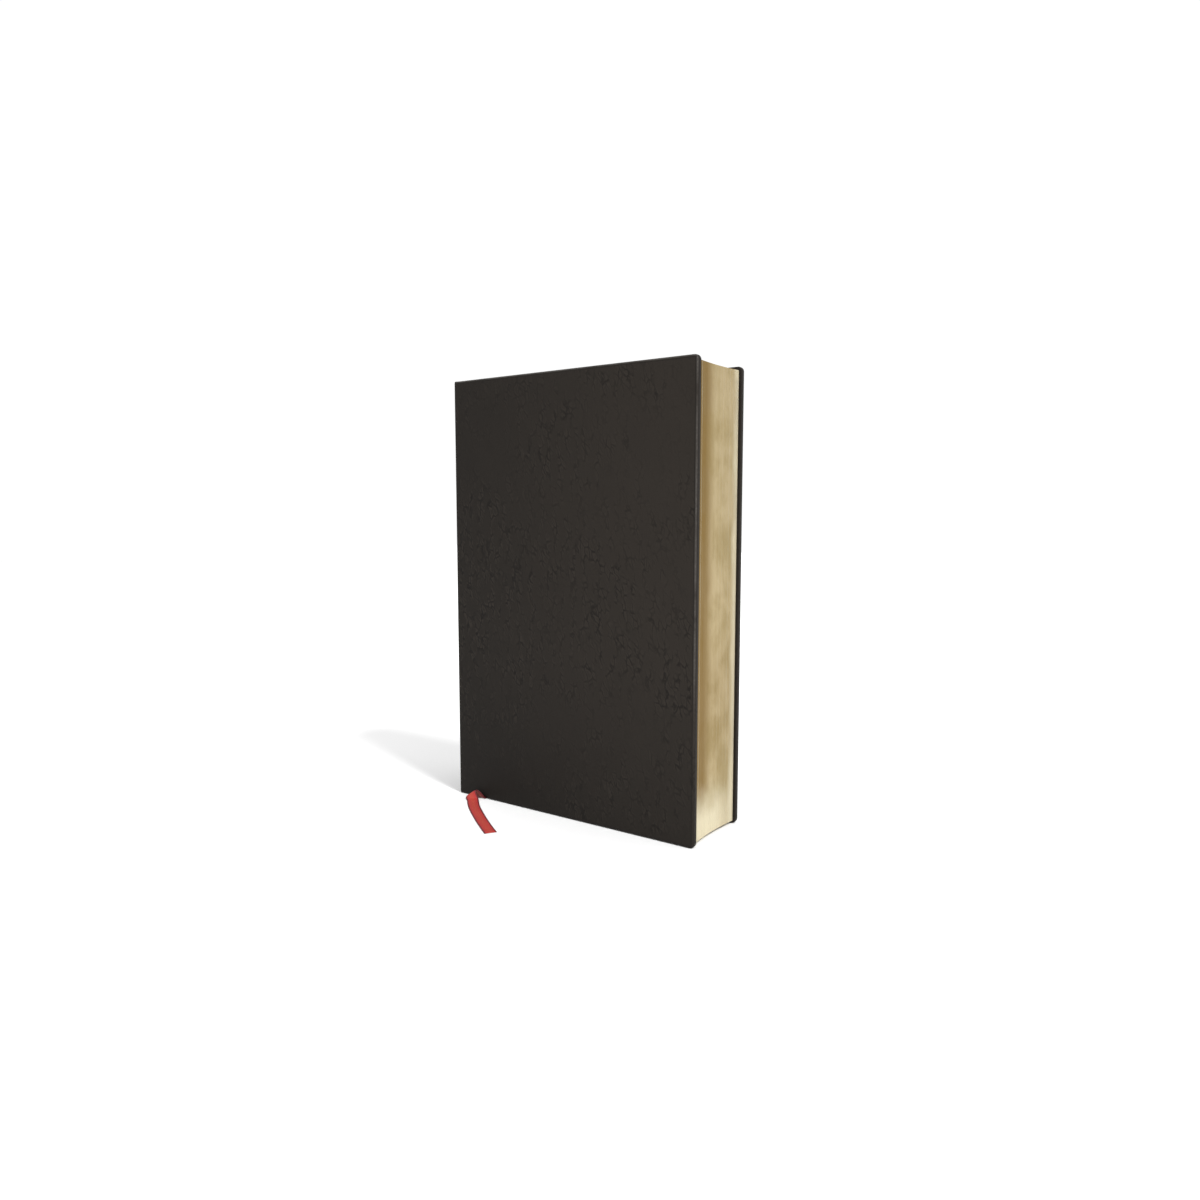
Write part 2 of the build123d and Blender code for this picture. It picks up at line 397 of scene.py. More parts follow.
def leather_finish():
    """Black calf with fine pores, drawn creases in patches, and a rubbed fore-edge.
    Creases are the broken borders of long, leaning cells, darkened with painted shade and edged
    with a painted highlight, and they fade away from the middle of the height. Painted light makes
    the leather lighter towards the fore-edge, and painted shade darker towards the tail. A line
    along the rounding of the edge is partly worn and partly a painted highlight, with painted
    shade beside it on the edge's side face."""
    settings = bpy.context.scene.book_leather
    f = Finish("rubbed_calf")
    still = f.place()
    height_up = f.along(still, 2)
    place = f.wander(still, 9 * MM, 3 * MM)
    drawn = f.stretch(place, (1.0, 1.0, 0.38))
    pores = f.cells(f.stretch(place, (1.0, 1.0, 0.75)), settings.pore_size, "SMOOTH_F1")
    pebble = f.cloud(drawn, 1.1 * MM, 3.0, 0.6)
    leaning = f.turn(f.wander(place, 4 * MM, 2.2 * MM), math.radians(20.0))
    long_cells = f.stretch(leaning, (1.0, 1.0, 0.36))
    folds = f.cells(long_cells, settings.crease_size, "DISTANCE_TO_EDGE")
    broken = f.cloud(drawn, 4 * MM, 2.0).rise(0.40, 0.62)
    crease = (1.0 - folds.rise(0.0, 0.12)) * broken
    # rim marks the edges of the creases, where a painted highlight goes
    rim = folds.rise(0.08, 0.16) * (1.0 - folds.rise(0.16, 0.34)) * broken
    from_middle = (height_up - 0.46 * HEIGHT).size()
    patch = (f.cloud(still, 40 * MM, 4.0, 0.65) - from_middle * 1.6).rise(0.22, 0.62)
    swell = f.cloud(drawn, 9 * MM, 2.0)
    height = (
        pores * (0.018 * MM)
        + pebble * (0.045 * MM)
        - crease * patch * (0.090 * MM)
        + swell * (0.10 * MM)
    )

    speck = f.cloud(still, 0.9 * MM, 3.0, 0.65)
    dust = f.cloud(still, 26 * MM, 3.0, 0.6)
    # painted light: the leather is lighter towards the fore-edge
    painted_light_toward_fore = f.along(still, 0).rise(1.2 * BACK_X, 1.1 * FORE_X)
    # painted shade: the leather is darker towards the tail
    low = 1.0 - height_up.rise(-0.2 * HEIGHT, 0.45 * HEIGHT)
    # random mottling and grain, mixed with painted light towards the fore-edge and painted shade
    # towards the tail
    mottle_and_painted_light = dust * 0.28 + painted_light_toward_fore * 0.66 - low * 0.58 + pebble * 0.22
    tone = f.blend(mottle_and_painted_light, shade(settings.base, 0.72), shade(settings.base, 1.75))
    # painted highlight along the edges of the creases
    tone = f.blend(rim * patch * 0.60, tone, shade(settings.base, 2.2))
    # painted shade in the creases
    tone = f.blend(crease * (patch * 0.72 + 0.06), tone, shade(settings.base, 0.32))

    edge = f.share("edge")
    # line: the rounding of the edge, coloured partly as wear and partly as a painted highlight
    line = edge.rise(0.62, 0.92)
    # beside: painted shade on the edge's side face, just inside the line
    beside = edge.rise(0.12, 0.42) * (1.0 - line)
    # where the painted highlight line and the wear show: from a little above the tail, in patches
    worn_and_lit_reach = height_up.rise(0.16 * HEIGHT, 0.46 * HEIGHT) * dust.rise(0.30, 0.55)
    rubbed = (edge * 0.55 + speck * 0.75).rise(0.88, 1.10) * edge
    # painted shade beside the line
    tone = f.blend(beside * 0.50, tone, shade(settings.base, 0.60))
    # the line along the rounding: worn colour that also stands for a painted highlight
    tone = f.blend(line * worn_and_lit_reach * (speck * 0.5 + 0.40), tone, settings.worn)
    tone = f.blend(rubbed * worn_and_lit_reach * 0.7, tone, shade(settings.worn, 1.3))
    roughness = 0.50 + pebble * 0.10 - edge * 0.10 + dust * 0.06
    return f.surface(tone, roughness, f.relief(height), Specular_IOR_Level=0.11)


def leaf_finish():
    """Thin paper whose trimmed edges are gilded: worn, streaked gold over fine leaf lines.
    The gold is darkened by painted shade beside the front cover, and darker a little above the
    tail.
    Painted light makes it bright beside the rear cover, and it is bright at the foot. Slow clouds
    push those borders about."""
    settings = bpy.context.scene.book_paper
    f = Finish("gilt_leaves")
    place = f.place()
    up = f.along(place, 2)
    gilt = f.share("gilt").rise(0.4, 0.6)
    lines = f.cloud(f.stretch(place, (1.0, 1.0, 0.012)), 0.13 * MM, 2.0, 0.6)
    streaks = f.cloud(f.stretch(place, (1.0, 1.0, 0.06)), 3.2 * MM, 3.0, 0.55)
    clouds = f.cloud(f.stretch(place, (1.0, 1.0, 0.85)), 24 * MM, 3.0, 0.55, 0.15)
    rubs = f.cloud(place, 1.6 * MM, 3.0, 0.6)
    worn = (streaks * 0.12 + clouds * 0.84 + rubs * 0.08).rise(0.42, 0.64)
    across = f.along(place, 1) + (clouds - 0.5) * (7.0 * MM)
    # painted shade: the gilding is darker beside the front cover
    shaded = 1.0 - across.rise(-0.66 * BLOCK_Y, -0.06 * BLOCK_Y)
    # painted light: the gilding is lighter beside the rear cover
    bright = across.rise(0.74 * BLOCK_Y, 0.96 * BLOCK_Y)
    fore_side = 1.0 - across.rise(0.0, 0.8 * BLOCK_Y)
    foot = 1.0 - (up + (clouds - 0.5) * (20.0 * MM)).rise(12.0 * MM, 32.0 * MM)
    # a darker band a little above the tail
    darker_above_tail = 1.0 - (up - 68.0 * MM).size().rise(12.0 * MM, 42.0 * MM)
    gold = f.blend(worn * 0.8, settings.gilt, settings.gilt_dark)
    gold = f.blend(shaded * (streaks * 0.2 + 0.80), gold, settings.gilt_painted_shade)
    gold = f.blend(darker_above_tail * 0.22, gold, settings.gilt_painted_shade)
    # painted light beside the rear cover
    gold = f.blend(bright * 0.7, gold, settings.gilt_pale)
    gold = f.blend(foot * (fore_side * 0.38 + 0.58), gold, settings.gilt_pale)
    gold = f.blend(lines.rise(0.50, 0.72) * 0.30, gold, shade(settings.gilt_dark, 0.6))

    fibre = f.cloud(place, 0.5 * MM, 4.0, 0.7)
    mottle = f.cloud(place, 14 * MM, 3.0)
    paper = f.blend(mottle, settings.page, shade(settings.page, 0.93))
    paper = f.blend(fibre.rise(0.45, 0.75) * 0.25, paper, FIBRE_TONE)
    height = lines * gilt * (0.012 * MM) + streaks * gilt * (0.05 * MM) + fibre * (0.004 * MM)
    roughness = gilt * (0.42 + worn * 0.14 - 0.80) + 0.80
    metallic = gilt * (0.80 - worn * 0.2)
    return f.surface(
        f.blend(gilt, paper, gold), roughness, f.relief(height), metallic, Specular_IOR_Level=0.15
    )


def paper_tone(f, place, tone, grain):
    """A paper's colour with slow mottling and short darker fibres, and the fibres by themselves."""
    fibre = f.cloud(f.wander(place, 2 * MM, 0.8 * MM), grain, 4.0, 0.7)
    paper = f.blend(f.cloud(place, 19 * MM, 3.0), tone, shade(tone, 0.90))
    return f.blend(fibre.rise(0.5, 0.8) * 0.4, paper, shade(tone, 0.72)), fibre


def paper_finish(name, place_of, tone, grain=PAPER_GRAIN):
    """Laid or wove paper with a faint tooth."""
    f = Finish(name)
    paper, fibre = paper_tone(f, place_of(f), tone, grain)
    return f.surface(paper, 0.82 - fibre * 0.08, f.relief(fibre * PAPER_TOOTH))


def flyleaf_finish():
    """Heavy paper whose fore-edge is gilded with the leaves'. The gilding starts at a length
    along the node's own first axis, a hair's breadth inside its fore-edge."""
    settings = bpy.context.scene.book_paper
    f = Finish("gilt_flyleaf")
    place = f.objects_own()
    fore_x = max(vertex.co.x for vertex in frame["nodes"]["front_flyleaf"].data.vertices)
    gilt = f.along(place, 0).rise(fore_x - 0.05 * MM, fore_x - 0.02 * MM)
    paper, fibre = paper_tone(f, place, settings.endpaper, PAPER_GRAIN)
    # the flyleaf's gilt edge takes the colour of the leaves' painted shade, a little darker
    tone = f.blend(gilt, paper, shade(settings.gilt_painted_shade, 0.8))
    return f.surface(tone, 0.82 - gilt * 0.35, f.relief(fibre * PAPER_TOOTH), gilt * 0.7)


def board_finish():
    """Grey board: pressed pulp with dark flecks."""
    settings = bpy.context.scene.book_trim
    f = Finish("grey_board")
    place = f.objects_own()
    pulp = f.cloud(place, 0.8 * MM, 5.0, 0.75)
    fleck = f.cells(place, 1.7 * MM).rise(0.16, 0.05)
    tone = f.blend(pulp, settings.board, shade(settings.board, 0.7))
    tone = f.blend(fleck * 0.5, tone, FLECK_TONE)
    return f.surface(tone, 0.90 - pulp * 0.06, f.relief(pulp * (0.06 * MM)))


def woven(across, along, pitch):
    """Threads over and under: the height of a plain weave, which is half the product of a sine
    wave across and one along, raised by a half."""
    return (across * (TURN / pitch)).sine() * (along * (TURN / pitch)).sine() * 0.5 + 0.5


def gauze_finish():
    """Starched open-weave mull, its threads raised and painted shade between them, with glue
    stains.
    """
    settings = bpy.context.scene.book_trim
    f = Finish("starched_mull")
    place = f.wander(f.place(), 3 * MM, 0.25 * MM)
    threads = woven(f.along(place, 1), f.along(place, 2), 1.5 * MM)
    glue = f.cloud(place, 6 * MM, 3.0)
    # painted shade in the hollows between the threads
    tone = f.blend(threads, shade(settings.gauze, 0.45), settings.gauze)
    tone = f.blend(glue * 0.3, tone, GLUE_TONE)
    return f.surface(tone, 0.88 - threads * 0.1, f.relief(threads * (0.12 * MM)))


def thread_finish():
    """Waxed linen thread with a twist."""
    settings = bpy.context.scene.book_trim
    f = Finish("waxed_thread")
    place = f.objects_own()
    slant = f.along(place, 1) + f.along(place, 2) * 1.4
    twist = (slant * (TURN / (0.5 * MM))).sine() * 0.5 + 0.5
    # painted shade in the grooves of the twist
    tone = f.blend(twist, shade(settings.thread, 0.6), settings.thread)
    return f.surface(tone, 0.62 + twist * 0.1, f.relief(twist * (0.05 * MM)))


def silk_finish():
    """Worked silk: three wraps of one colour and three of the other, and each wrap a bright
    strand with a furrow of painted shade beside it, and fine painted glints."""
    settings = bpy.context.scene.book_trim
    f = Finish("worked_silk")
    wrap = f.share("wrap")
    second = (wrap / 6.0).fraction().rise(0.49, 0.51)
    strand = (wrap.fraction() - 0.5).size() * 2.0
    fine = f.cloud(f.place(), 0.12 * MM, 2.0)
    tone = f.blend(second, settings.silk, settings.silk_light)
    # painted shade in the furrows between wraps
    tone = f.blend(strand.rise(0.55, 1.0) * 0.75, tone, FURROW_TONE)
    # painted glints
    tone = f.blend(fine * 0.12, tone, SILK_GLINT)
    return f.surface(
        tone, 0.42 + fine * 0.12, f.relief(fine * (0.02 * MM)),
        Sheen_Weight=0.08, Sheen_Roughness=0.4,
    )


def satin_finish(name, on_strip):
    """Double-faced satin: fine ribs across, floats along, and darker edges. The loose
    strip carries its own width and length as UV, and the part in the book doesn't."""
    settings = bpy.context.scene.book_trim
    f = Finish(name)
    if on_strip:
        uv = f.node("ShaderNodeUVMap", dict(uv_map="ribbon")).outputs[0]
        along = f.along(uv, 1)
        side = (f.along(uv, 0) - 0.5).size() * 2.0
        edge = side.rise(0.68, 0.86)
        place = f.place()
    else:
        place = f.objects_own()
        along = f.along(place, 2)
        side = f.cloud(place, 5 * MM) * 0.2
        edge = side
    rib = (along * (TURN / (0.34 * MM))).sine() * 0.5 + 0.5
    sheen = f.cloud(place, 7 * MM, 2.0)
    fibre = f.cloud(place, 0.35 * MM, 3.0, 0.65)
    tone = f.blend(sheen, settings.satin, shade(settings.satin, 1.25))
    tone = f.blend((1.0 - side).rise(0.35, 0.95) * 0.35, tone, SATIN_GLINT)
    tone = f.blend(fibre.rise(0.5, 0.8) * 0.25, tone, settings.satin_dark)
    if on_strip:
        # painted shade on the ribbon's lower face, which faces the ground
        tone = f.blend(f.share("under") * 0.8, tone, SATIN_UNDERSIDE_SHADE)
    # darker along both edges of the width
    tone = f.blend(edge * 0.95, tone, settings.satin_dark)
    height = rib * (0.018 * MM) + fibre * (0.012 * MM) + edge * (0.04 * MM)
    return f.surface(
        tone, 0.44 + fibre * 0.12, f.relief(height),
        Sheen_Weight=0.08, Sheen_Roughness=0.35, Specular_IOR_Level=0.3,
    )


def floor_finish():
    """A plain pale floor."""
    settings = bpy.context.scene.book_stage
    f = Finish("floor")
    cloud = f.cloud(f.objects_own(), 0.5, 2.0)
    tone = f.blend(cloud, settings.floor_tone, shade(settings.floor_tone, 0.995))
    return f.surface(tone, 0.75 + cloud * 0.01, Specular_IOR_Level=0.1)


# ======== meshes
SAME_POINT = 0.0005 * MM


def quads_of(rows, columns):
    """The faces of a grid of points stored row by row, as four corners each."""
    index = np.arange(rows * columns).reshape(rows, columns)
    corners = [index[:-1, :-1], index[:-1, 1:], index[1:, 1:], index[1:, :-1]]
    return np.stack(corners, axis=-1).reshape(-1, 4)


def grid_of(*parts):
    """Points from the arrays of their x, y and z, broadcast together."""
    return np.stack(np.broadcast_arrays(*parts), axis=-1)


def strip_of(first, second):
    """The faces between two rows of point numbers."""
    corners = [first[:-1], first[1:], second[1:], second[:-1]]
    return np.stack(corners, axis=-1)


def new_piece(name, points, faces, finish, shares=None, smooth=True, face_shares=None):
    """A mesh object at the origin that remembers where each of its points lies at rest."""
    mesh = bpy.data.meshes.new(name)
    mesh.from_pydata(points.reshape(-1, 3).tolist(), [], faces.tolist())
    own = mesh.attributes.new("place", "FLOAT_VECTOR", "POINT")
    own.data.foreach_set("vector", points.astype(np.float32).ravel())
    for key, values in (shares or {}).items():
        mesh.attributes.new(key, "FLOAT", "POINT").data.foreach_set("value", values.ravel())
    for key, values in (face_shares or {}).items():
        mesh.attributes.new(key, "FLOAT", "FACE").data.foreach_set("value", values.ravel())
    mesh.materials.append(finish)
    mesh.polygons.foreach_set("use_smooth", np.full(len(mesh.polygons), smooth))
    mesh.update()
    piece = bpy.data.objects.new(name, mesh)
    bpy.context.scene.collection.objects.link(piece)
    return piece


def merge(piece):
    """Joins points that lie together, so that seams and poles are closed."""
    work = bmesh.new()
    work.from_mesh(piece.data)
    bmesh.ops.remove_doubles(work, verts=work.verts, dist=SAME_POINT)
    bmesh.ops.dissolve_degenerate(work, edges=work.edges, dist=SAME_POINT * 0.1)
    work.to_mesh(piece.data)
    work.free()
    piece.data.update()


def thicken(piece, thickness):
    """Gives a skin its thickness, inwards."""
    solidify = piece.modifiers.new("thickness", "SOLIDIFY")
    solidify.thickness = thickness
    solidify.offset = -1.0
    solidify.use_even_offset = False


def closed_slab(outer, inner):
    """A closed body between two grids of the same size: both faces and the four rims.
    Seen from outside, the outer grid's rows and columns turn anticlockwise."""
    rows, columns = outer.shape[:2]
    points = np.concatenate([outer.reshape(-1, 3), inner.reshape(-1, 3)])
    front = quads_of(rows, columns)
    count = rows * columns
    index = np.arange(count).reshape(rows, columns)
    rim = np.concatenate([index[0], index[1:, -1], index[-1, -2::-1], index[-2::-1, 0]])
    rims = strip_of(rim, rim + count)[:, ::-1]
    return points, np.concatenate([front, front[:, ::-1] + count, rims])


def ramp(values, start, end):
    """Smooth step of an array, 0 at start and 1 at end."""
    t = np.clip((values - start) / (end - start), 0.0, 1.0)
    return t * t * (3.0 - 2.0 * t)


def ripple(x, z, seed, wave=24 * MM, count=14):
    """A smooth uneven height from -1 to 1: the mean of sine waves in scattered directions, drawn
    out along the height."""
    random = np.random.default_rng(seed)
    total = np.zeros_like(x)
    for _ in range(count):
        way, phase = random.uniform(0.0, TURN, 4)[:2]
        waves = TURN / (wave * random.uniform(0.45, 1.6))
        total += np.sin(waves * (x * np.cos(way) + z * np.sin(way) * 0.7) + phase)
    return total / count


def skin_lift(x, z, depth):
    """How far a skin stands out of its plain form: a slow ripple that is at most level with the
    form, dies out where the skin turns over an edge, and is nothing inside."""
    waviness = bpy.context.scene.book_leather.waviness
    wave = ripple(x, z, SKIN_SEED) * waviness
    wave = wave * (1.0 - ramp(depth, 0.2 * MM, 1.0 * MM)) - waviness
    return wave * (1.0 - ramp(depth, 0.4 * MM, 1.4 * MM))


# ======== covers and spine
COLUMN_STEP = 1.5 * MM
ROW_STEP = 2.0 * MM
SPINE_COLUMNS = 37
SPINE_ROWS = 80
CORNER_STEPS = 7
FOLDED_ROUNDING = 0.40  # the outer rounding at the joint, as a share of the folded thickness
SHARPEST = 0.06 * MM  # the least radius of an inner corner


def back_arc(depth, y):
    """X of the spine's curve at a depth under the leather's surface."""
    return BACK_CENTRE_X - np.sqrt((BACK_R - depth) ** 2 - y**2)


def plan_path(settings):
    """The front leather's line in plan, from the seam on the back to the fore corner.
    A stretch of the spine's arc, then the shoulder's smaller arc, which touches both it and the
    straight line of the cover's face. Returns the points and their unit inward normals."""
    radius = settings.shoulder_radius
    across = OUTER_Y - radius
    centre_x = BACK_CENTRE_X - math.sqrt((BACK_R - radius) ** 2 - across**2)
    touch = math.atan2(across, BACK_CENTRE_X - centre_x)
    back = np.linspace(math.asin(SEAM_Y / BACK_R), touch, 3, endpoint=False)
    shoulder = np.linspace(touch, math.pi / 2, 9)
    angles = np.concatenate([back, shoulder])
    on_back = np.arange(len(angles)) < len(back)
    inward = np.stack([np.cos(angles), np.sin(angles)], axis=-1)
    centres = np.where(on_back[:, None], [BACK_CENTRE_X, 0.0], [centre_x, -across])
    radii = np.where(on_back, BACK_R, radius)[:, None]
    curved = centres - inward * radii
    end_x = FORE_X - settings.corner_radius
    steps = int((end_x - centre_x) / COLUMN_STEP)
    straight_x = np.linspace(centre_x, end_x, steps + 1)[1:]
    straight = np.stack([straight_x, np.full_like(straight_x, -OUTER_Y)], axis=-1)
    normals = np.concatenate([inward, np.tile([0.0, 1.0], (len(straight), 1))])
    return np.concatenate([curved, straight]), normals


def to_quarter_disc(u, w):
    """Maps the unit square to a quarter of the unit disc: a point keeps its larger coordinate as
    its radius, and its angle is an eighth of a turn times the smaller over the larger."""
    larger = np.maximum(u, w)
    smaller = np.minimum(u, w)
    angle = math.pi / 4 * np.divide(smaller, larger, out=np.zeros_like(larger), where=larger > 0)
    near, far = larger * np.cos(angle), larger * np.sin(angle)
    return np.where(u >= w, near, far), np.where(u >= w, far, near)


def edge_profile(settings, full):
    """How a wrapped edge runs, as rows of (inset, depth) for each column: a quarter round, the
    flat of the edge, a smaller quarter round, and the turn-in. full is 0 at the joint, where the
    leather is only folded on itself, and 1 where it wraps the board."""
    fold = settings.joint_depth
    depth = fold + full * (COVER_DEPTH - fold)
    folded = FOLDED_ROUNDING * fold
    outer = folded + full * (settings.outer_edge - folded)
    inner = settings.inner_edge
    rows = []
    for turn in np.linspace(0.0, math.pi / 2, 6):
        rows.append((settings.outer_edge * (1 - math.sin(turn)), outer * (1 - math.cos(turn))))
    rows.append((0.0, (outer + depth - inner) / 2))
    for turn in np.linspace(0.0, math.pi / 2, 4):
        rows.append((inner * (1 - math.cos(turn)), depth - inner * (1 - math.sin(turn))))
    for inset in np.linspace(inner, settings.turn_in, 6)[1:]:
        rows.append((inset, depth))
    insets = np.array([inset for inset, _ in rows])
    depths = np.array([np.broadcast_to(value, full.shape) for _, value in rows])
    return insets, depths


def notch(x, z):
    """How far the ribbon lifts the cover's tail edge: a smooth dent under one stretch of it."""
    middle, half, lift, reach = -60.2 * MM, 4.7 * MM, 0.45 * MM, 2.6 * MM
    near = ramp(half + 1.2 * MM - np.abs(x - middle), 0.0, 1.2 * MM)
    return lift * near * (1.0 - ramp(z, 0.0, reach))


def cover_grid(settings, base):
    """The outer face as a grid of columns along the plan path and rows up the height, whose two
    fore corners are squares mapped to quarter discs. Returns the points, where each lies in its
    disc, and each row's level."""
    corner = settings.corner_radius
    across = np.arange(1, CORNER_STEPS + 1) / CORNER_STEPS
    rise_steps = int((HEIGHT - 2 * corner) / ROW_STEP)
    flat = np.zeros(rise_steps + 1)
    u = np.concatenate([np.zeros(len(base) - CORNER_STEPS), across])
    w = np.concatenate([across[::-1], flat, across])
    sense = np.concatenate([-np.ones(CORNER_STEPS), flat, np.ones(CORNER_STEPS)])
    level = np.concatenate(
        [
            np.full(CORNER_STEPS, corner),
            np.linspace(corner, HEIGHT - corner, rise_steps + 1),
            np.full(CORNER_STEPS, HEIGHT - corner),
        ]
    )
    disc_u, disc_w = to_quarter_disc(*np.meshgrid(u, w))
    disc_w = disc_w * sense[:, None]
    reach = corner - settings.outer_edge
    x = base[None, :, 0] + reach * disc_u
    cap = grid_of(x, base[None, :, 1], level[:, None] + reach * disc_w)
    return cap, disc_u, disc_w, level


def cover_border(settings, stand, inn, out_x, out_z, heights):
    """Rings of points round the outer face's border, one for each step of the edge profile: over
    the rounding, across the edge and on to the end of the turn-in. Their corners tighten as they
    go in, and then they draw together. Returns the rings and their depths."""
    corner = settings.corner_radius
    full = ramp(stand[:, 0], JOINT_START, COVER_X)
    insets, depths = edge_profile(settings, full)
    start_x = stand[0, 0]
    rings = []
    for inset, depth in zip(insets[1:], depths[1:]):
        radius = max(corner - inset, SHARPEST)
        move = max(inset + radius - corner, 0.0)
        shrink = (FORE_X - corner - move - start_x) / (FORE_X - corner - start_x)
        along = np.where(full >= 1.0, start_x + (stand[:, 0] - start_x) * shrink, stand[:, 0])
        squeeze = (HEIGHT / 2 - corner - move) / (HEIGHT / 2 - corner)
        z = HEIGHT / 2 + (heights - HEIGHT / 2) * squeeze + radius * out_z
        x = along + radius * out_x + inn[:, 0] * depth
        rings.append(grid_of(x, stand[:, 1] + inn[:, 1] * depth, z))
    return np.array(rings), depths[1:]


def cover_skin(name, side, notched):
    """One cover's leather, from its seam on the back, round the shoulder and over the board: the
    outer face's grid, and then its border through the edge profile."""
    settings = bpy.context.scene.book_leather
    line, inward = plan_path(settings)
    base = np.concatenate([line, np.tile(line[-1], (CORNER_STEPS, 1))])
    normal = np.concatenate([inward, np.tile([0.0, 1.0], (CORNER_STEPS, 1))])
    cap, disc_u, disc_w, level = cover_grid(settings, base)
    rows, columns = cap.shape[:2]

    # the border, from the seam along the tail, up the fore-edge and back along the head
    tail = [(0, i) for i in range(columns)]
    fore = [(j, columns - 1) for j in range(1, rows)]
    head = [(rows - 1, i) for i in range(columns - 2, -1, -1)]
    at_row, at_column = np.array(tail + fore + head).T
    inn = normal[at_column]
    out_x, out_z = disc_u[at_row, at_column], disc_w[at_row, at_column]
    rings, ring_depths = cover_border(
        settings, base[at_column], inn, out_x, out_z, level[at_row]
    )

    points = np.concatenate([cap.reshape(-1, 3), rings.reshape(-1, 3)])
    count = len(at_row)
    ring_ids = rows * columns + np.arange(len(rings) * count).reshape(len(rings), count)
    loops = [at_row * columns + at_column, *ring_ids]
    faces = [quads_of(rows, columns)]
    faces += [strip_of(a, b)[:, ::-1] for a, b in zip(loops, loops[1:])]
    faces = np.concatenate(faces)

    ring_depths = np.broadcast_to(ring_depths, rings.shape[:2])
    depth = np.concatenate([np.zeros(rows * columns), ring_depths.ravel()])
    cap_normals = np.broadcast_to(normal, (rows, columns, 2)).reshape(-1, 2)
    normals = np.concatenate([cap_normals, np.tile(inn, (len(rings), 1))])
    points[:, :2] -= normals * skin_lift(points[:, 0], points[:, 2], depth)[:, None]
    if notched:
        points[:, 2] += notch(points[:, 0], points[:, 2])
    # the edge share drops on the edge's side face, where the leather finish paints shade beside the
    # line
    edge = edge_share(points) * (1.0 - 0.65 * ramp(depth, 0.45 * MM, 1.0 * MM))
    if side > 0:
        points = points * [1.0, -1.0, 1.0]
        faces = faces[:, ::-1]
    leather = once("rubbed_calf", leather_finish)
    piece = new_piece(name, points, faces, leather, {"edge": edge})
    merge(piece)
    thicken(piece, settings.skin)
    return piece


def edge_share(points):
    """How near a point is to the fore-edge or an end: 1 on the rounding, falling to 0 within 2.2
    mm.
    """
    from_fore = FORE_X - points[:, 0]
    from_ends = np.minimum(points[:, 2], HEIGHT - points[:, 2])
    near = np.minimum(from_fore, from_ends)
    return 1.0 - ramp(near, 0.35 * MM, 2.2 * MM)


def spine_skin(name):
    """The back's leather: the spine's arc in plan, carried up the height and turned in at both
    ends through the same edge profile as the covers."""
    settings = bpy.context.scene.book_leather
    y = np.linspace(-SEAM_Y, SEAM_Y, SPINE_COLUMNS)
    insets, depths = edge_profile(settings, np.zeros(1))
    depths = depths[:, 0]
    levels = np.linspace(insets[0], HEIGHT - insets[0], SPINE_ROWS)
    z = np.concatenate([insets[::-1], levels[1:-1], HEIGHT - insets])[:, None]
    depth = np.concatenate([depths[::-1], np.zeros(len(levels) - 2), depths])[:, None]
    angle = np.arcsin(y / BACK_R)
    x = BACK_CENTRE_X - BACK_R * np.cos(angle)
    inset = depth - skin_lift(*np.broadcast_arrays(x, z), depth)
    grid = grid_of(x + np.cos(angle) * inset, y - np.sin(angle) * inset, z)
    faces = quads_of(*grid.shape[:2])[:, ::-1]
    points = grid.reshape(-1, 3)
    leather = once("rubbed_calf", leather_finish)
    piece = new_piece(name, points, faces, leather, {"edge": edge_share(points)})
    thicken(piece, settings.skin)
    return piece


class BOOK_OT_front_cover(bpy.types.Operator):
    """Build the front cover's leather, from the back to the fore-edge"""

    bl_idname = "book.front_cover"
    bl_label = "Front Cover"

    def execute(self, context):
        piece = cover_skin("front_cover_skin", -1, True)
        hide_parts("front_cover_leather")
        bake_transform(piece)
        return {"FINISHED"}


class BOOK_OT_rear_cover(bpy.types.Operator):
    """Build the rear cover's leather, from the back to the fore-edge"""

    bl_idname = "book.rear_cover"
    bl_label = "Rear Cover"

    def execute(self, context):
        piece = cover_skin("rear_cover_skin", 1, False)
        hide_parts("rear_cover_leather")
        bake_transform(piece)
        return {"FINISHED"}


def fold_at_middle(piece):
    """Bakes a layer of the back's transform into its mesh, without bending it."""
    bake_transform(piece)


class BOOK_OT_spine(bpy.types.Operator):
    """Build the spine's leather"""

    bl_idname = "book.spine"
    bl_label = "Spine"

    def execute(self, context):
        piece = spine_skin("spine_skin")
        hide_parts("spine_leather_front", "spine_leather_rear")
        fold_at_middle(piece)
        return {"FINISHED"}


# ======== linings
BACK_COLUMNS = 41
SHEET_ROWS = 24


def back_sheet(depths, half_width, low, high, rows):
    """Points and faces of a sheet that follows the spine's curve between two depths."""
    y = np.linspace(-half_width, half_width, BACK_COLUMNS)
    z = np.linspace(low, high, rows)[:, None]
    return closed_slab(*[grid_of(back_arc(depth, y), y, z)[:, ::-1] for depth in depths])


